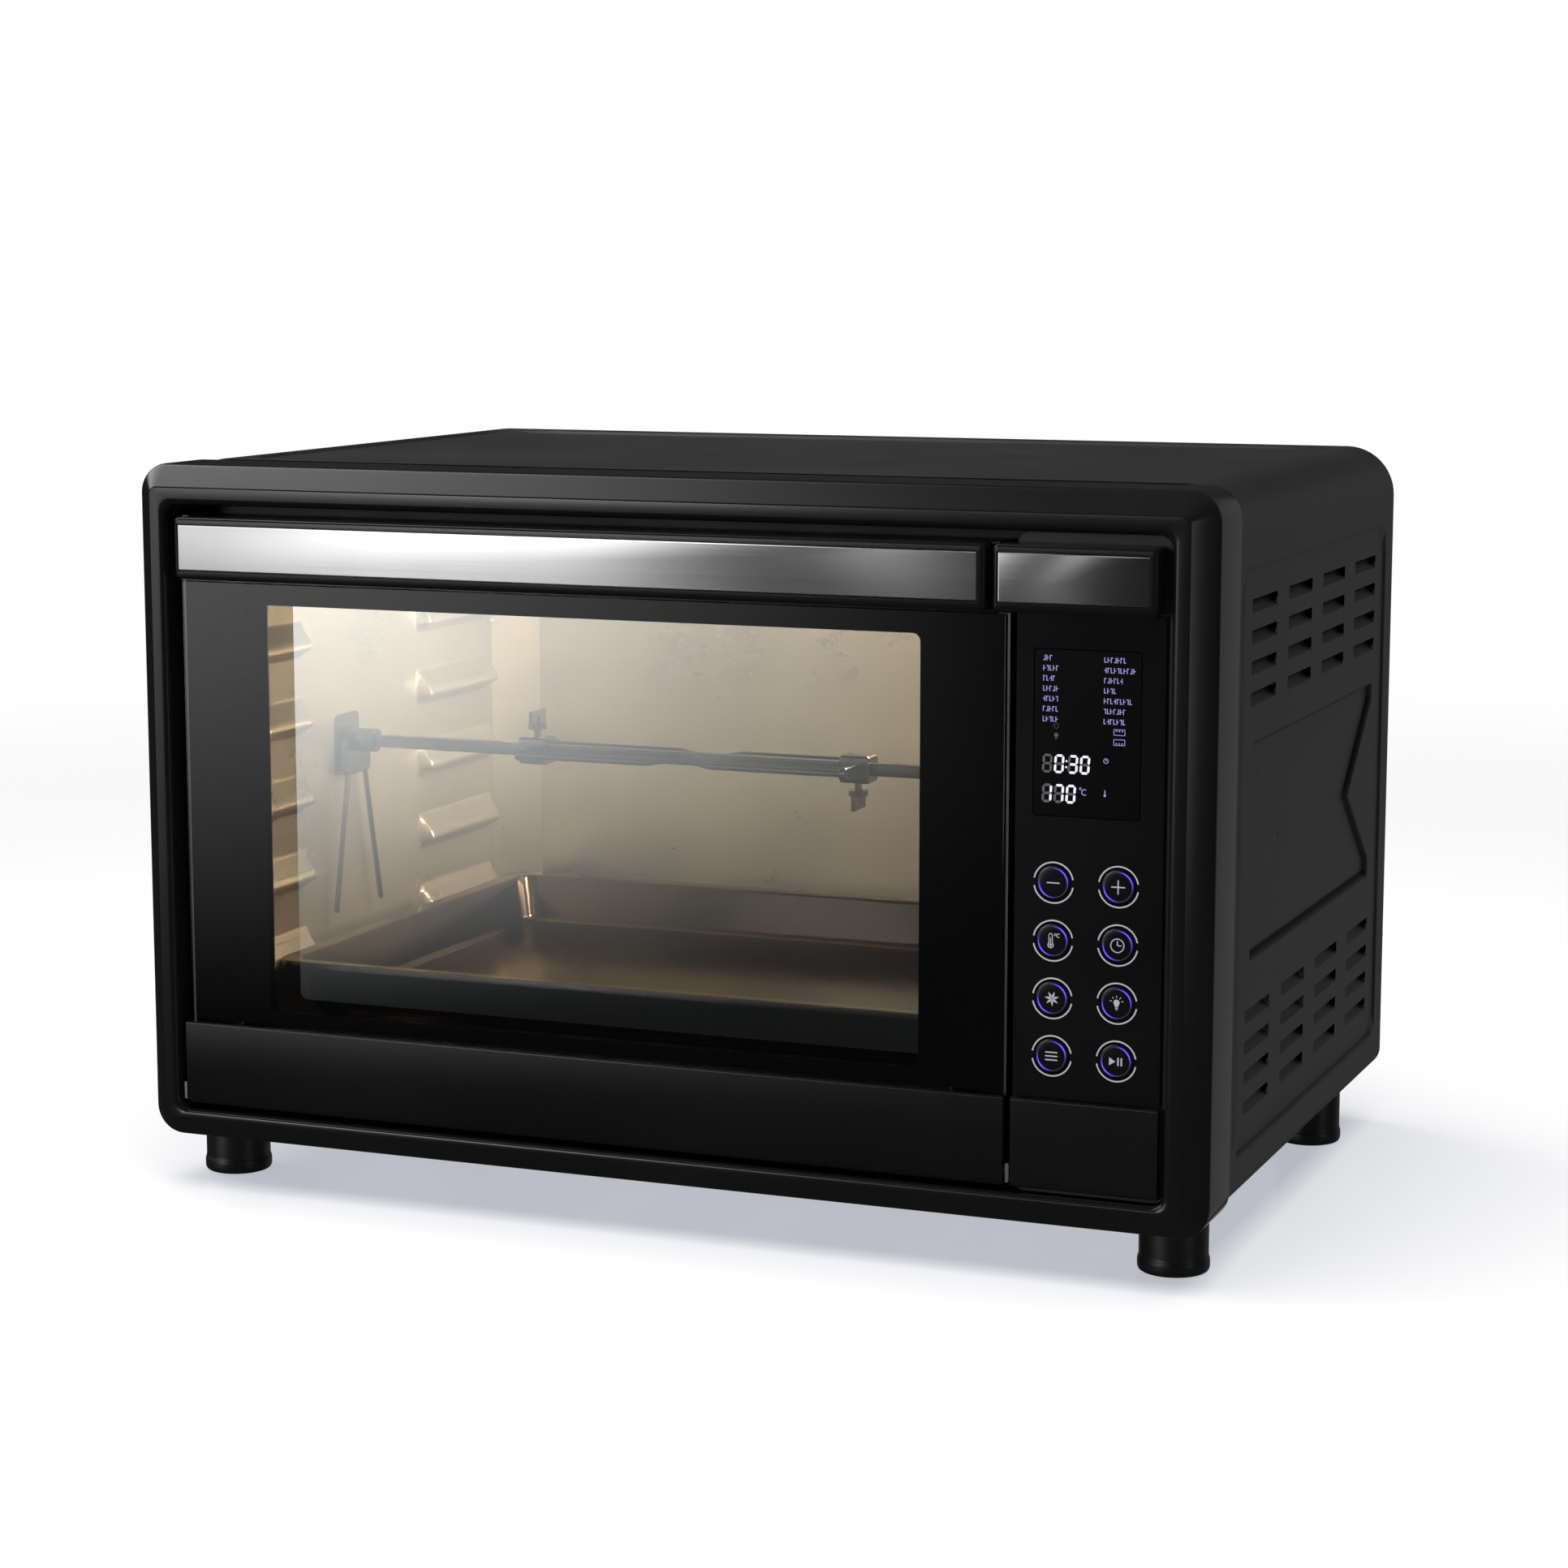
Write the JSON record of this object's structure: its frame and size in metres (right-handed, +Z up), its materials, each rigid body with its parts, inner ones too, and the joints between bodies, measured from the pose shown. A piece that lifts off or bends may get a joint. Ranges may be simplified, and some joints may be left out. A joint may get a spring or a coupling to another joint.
{
  "type": "toaster oven",
  "caption": "Countertop toaster oven with a drop-down glass door, rotisserie spit, baking tray, convection fan and a push-button control panel with a display.",
  "frame": {"origin": "on the floor under the centre of the oven's bounding box", "axes": "+X to the user's right along the oven's width, -Y towards the user, +Z up"},
  "size_m": [0.561, 0.404, 0.372],
  "materials": {
    "wrap_paint": "satin black powder coat",
    "rear_paint": "satin black",
    "base_steel": "galvanised",
    "bezel_plastic": "satin black",
    "seam_rubber": "matt",
    "foot_rubber": "satin",
    "cavity_steel": "aluminised sheet",
    "face_steel": "dark coated sheet",
    "crumb_steel": "galvanised",
    "heater_tube": "dull oxide",
    "ceramic": "unglazed ceramic",
    "motor_steel": "zinc plated",
    "spit_steel": "bright plated",
    "lamp_glass": "clear",
    "lamp_bulb": "warm lit",
    "panel_plastic": "satin black",
    "fascia": "gloss black",
    "display": "smoked",
    "brushed_plate": "brushed lengthwise",
    "circuit_board": "solder mask",
    "hinge_steel": "bright zinc",
    "door_plastic": "satin black",
    "door_glass": "clear with a black border",
    "door_steel": "coated sheet",
    "inner_glass": "clear",
    "fan_steel": "pressed",
    "tray_enamel": "dark non-stick enamel",
    "button_cap": "gloss black, lit ring"
  },
  "bodies": {
    "cabinet": {"outer_wrap": "wrap_paint", "rear_plate": "rear_paint", "rear_bulge": "rear_paint", "base_pan": "base_steel", "front_bezel": "bezel_plastic", "seam_strip": "seam_rubber", "foot_front_left": "foot_rubber", "foot_front_right": "foot_rubber", "foot_rear_left": "foot_rubber", "foot_rear_right": "foot_rubber", "cavity_left_wall": "cavity_steel", "cavity_right_wall": "cavity_steel", "cavity_ceiling": "cavity_steel", "cavity_floor": "cavity_steel", "cavity_back": "cavity_steel", "cavity_face_frame": "face_steel", "crumb_tray": "crumb_steel", "heater_top": "heater_tube", "heater_bottom": "heater_tube", "heater_bushes": "ceramic", "fan_grille": "cavity_steel", "fan_motor": "motor_steel", "spit_motor": "motor_steel", "spit_bracket": "spit_steel", "lamp_glass": "lamp_glass", "lamp_bulb": "lamp_bulb", "lamp_holder": "ceramic", "panel_housing": "panel_plastic", "panel_glass": "fascia", "display_window": "display", "panel_trim": "panel_plastic", "panel_trim_plate": "brushed_plate", "panel_cover": "panel_plastic", "control_board": "circuit_board", "power_board": "circuit_board", "temp_probe": "spit_steel", "mains_gland": "panel_plastic", "hinge_brackets": "hinge_steel"},
    "door": {"door_strip": "door_plastic", "door_outer_glass": "door_glass", "door_inner_frame": "door_steel", "door_inner_glass": "inner_glass", "handle_moulding": "door_plastic", "handle_plate": "brushed_plate"},
    "fan": {"fan_impeller": "fan_steel", "cooling_blade": "fan_steel"},
    "spit": {"spit_rod": "spit_steel", "spit_fork_left": "spit_steel", "spit_fork_right": "spit_steel", "spit_thumbscrews": "spit_steel"},
    "spit_driver": {"spit_socket": "spit_steel"},
    "tray": {"baking_tray": "tray_enamel"},
    "key_minus": {"button_minus": "button_cap"},
    "key_plus": {"button_plus": "button_cap"},
    "key_heat": {"button_heat": "button_cap"},
    "key_clock": {"button_clock": "button_cap"},
    "key_fan": {"button_fan": "button_cap"},
    "key_lamp": {"button_lamp": "button_cap"},
    "key_menu": {"button_menu": "button_cap"},
    "key_play": {"button_play": "button_cap"}
  },
  "joints": [
    {"name": "door_hinge", "type": "hinge", "parent": "cabinet", "child": "door", "pos_m": [0, -0.186, 0.05], "axis": [1, 0, 0], "range_deg": [0, 90], "stiffness_Nm_per_rad": 0.8, "springref_deg": -34.38},
    {"name": "tray_slide", "type": "slide", "parent": "cabinet", "child": "tray", "axis": [0, -1, 0], "range_m": [0, 0.062]},
    {"name": "spit_turn", "type": "hinge", "parent": "cabinet", "child": "spit", "pos_m": [0, -0.064, 0.218], "axis": [1, 0, 0], "continuous": true},
    {"name": "spit_drive", "type": "hinge", "parent": "cabinet", "child": "spit_driver", "pos_m": [0.16, -0.064, 0.218], "axis": [1, 0, 0], "continuous": true},
    {"name": "fan_turn", "type": "hinge", "parent": "cabinet", "child": "fan", "pos_m": [0.155, -0.039, 0.285], "axis": [1, 0, 0], "continuous": true},
    {"name": "press_minus", "type": "slide", "parent": "cabinet", "child": "key_minus", "axis": [0, 1, 0], "range_m": [0, 0.0008], "stiffness_N_per_m": 300, "springref_m": -0.002},
    {"name": "press_plus", "type": "slide", "parent": "cabinet", "child": "key_plus", "axis": [0, 1, 0], "range_m": [0, 0.0008], "stiffness_N_per_m": 300, "springref_m": -0.002},
    {"name": "press_heat", "type": "slide", "parent": "cabinet", "child": "key_heat", "axis": [0, 1, 0], "range_m": [0, 0.0008], "stiffness_N_per_m": 300, "springref_m": -0.002},
    {"name": "press_clock", "type": "slide", "parent": "cabinet", "child": "key_clock", "axis": [0, 1, 0], "range_m": [0, 0.0008], "stiffness_N_per_m": 300, "springref_m": -0.002},
    {"name": "press_fan", "type": "slide", "parent": "cabinet", "child": "key_fan", "axis": [0, 1, 0], "range_m": [0, 0.0008], "stiffness_N_per_m": 300, "springref_m": -0.002},
    {"name": "press_lamp", "type": "slide", "parent": "cabinet", "child": "key_lamp", "axis": [0, 1, 0], "range_m": [0, 0.0008], "stiffness_N_per_m": 300, "springref_m": -0.002},
    {"name": "press_menu", "type": "slide", "parent": "cabinet", "child": "key_menu", "axis": [0, 1, 0], "range_m": [0, 0.0008], "stiffness_N_per_m": 300, "springref_m": -0.002},
    {"name": "press_play", "type": "slide", "parent": "cabinet", "child": "key_play", "axis": [0, 1, 0], "range_m": [0, 0.0008], "stiffness_N_per_m": 300, "springref_m": -0.002}
  ],
  "couplings": [
    {"joint": "tray_slide", "follows": "door_hinge", "m_per_rad": 0.038},
    {"joint": "spit_drive", "follows": "spit_turn", "ratio": 1}
  ]
}
